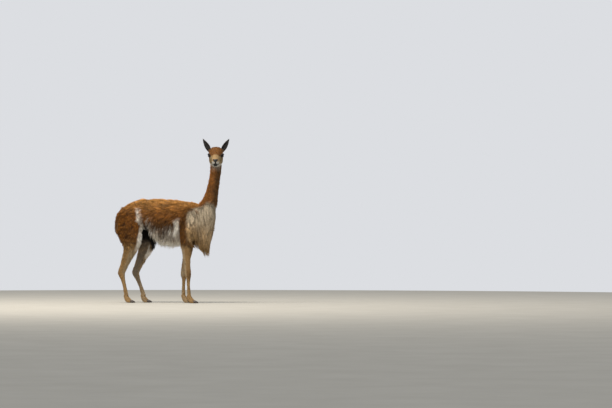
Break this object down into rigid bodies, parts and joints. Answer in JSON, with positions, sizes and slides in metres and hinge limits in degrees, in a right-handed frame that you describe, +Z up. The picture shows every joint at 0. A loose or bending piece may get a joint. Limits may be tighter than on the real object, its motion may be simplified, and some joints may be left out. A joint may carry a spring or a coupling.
{
  "type": "vicuna",
  "caption": "A standing vicuna with fawn wool, long pale locks on its chest and belly, and its head turned to look out over its right side",
  "frame": {"origin": "under the middle of the bounding box, on the ground that the feet stand on", "axes": "+Z up, +X where the body faces, +Y the left side of the body"},
  "size_m": [1.0578, 0.3762, 1.3736],
  "materials": {
    "fawn_wool": "soft dense fawn wool",
    "pale_chest_wool": "long pale chest hair",
    "sandy_leg_fur": "short sandy fur",
    "pale_face_fur": "short pale fur",
    "ear_skin": "thin dark skin with short fur",
    "dark_eye": "wet and glossy",
    "dark_nail": "worn horn"
  },
  "bodies": {
    "root": {"barrel": "fawn_wool", "chest": "pale_chest_wool", "head": "fawn_wool", "left_ear": "ear_skin", "left_eye": "dark_eye", "left_fore_cannon": "sandy_leg_fur", "left_fore_forearm": "sandy_leg_fur", "left_fore_inner_nail": "dark_nail", "left_fore_inner_toe": "sandy_leg_fur", "left_fore_outer_nail": "dark_nail", "left_fore_outer_toe": "sandy_leg_fur", "left_fore_upper_arm": "fawn_wool", "left_hind_cannon": "sandy_leg_fur", "left_hind_gaskin": "sandy_leg_fur", "left_hind_inner_nail": "dark_nail", "left_hind_inner_toe": "sandy_leg_fur", "left_hind_outer_nail": "dark_nail", "left_hind_outer_toe": "sandy_leg_fur", "left_hind_thigh": "fawn_wool", "lower_jaw": "pale_face_fur", "neck": "fawn_wool", "right_ear": "ear_skin", "right_eye": "dark_eye", "right_fore_cannon": "sandy_leg_fur", "right_fore_forearm": "sandy_leg_fur", "right_fore_inner_nail": "dark_nail", "right_fore_inner_toe": "sandy_leg_fur", "right_fore_outer_nail": "dark_nail", "right_fore_outer_toe": "sandy_leg_fur", "right_fore_upper_arm": "fawn_wool", "right_hind_cannon": "sandy_leg_fur", "right_hind_gaskin": "sandy_leg_fur", "right_hind_inner_nail": "dark_nail", "right_hind_inner_toe": "sandy_leg_fur", "right_hind_outer_nail": "dark_nail", "right_hind_outer_toe": "sandy_leg_fur", "right_hind_thigh": "fawn_wool", "rump": "fawn_wool", "tail": "fawn_wool"}
  },
  "joints": []
}
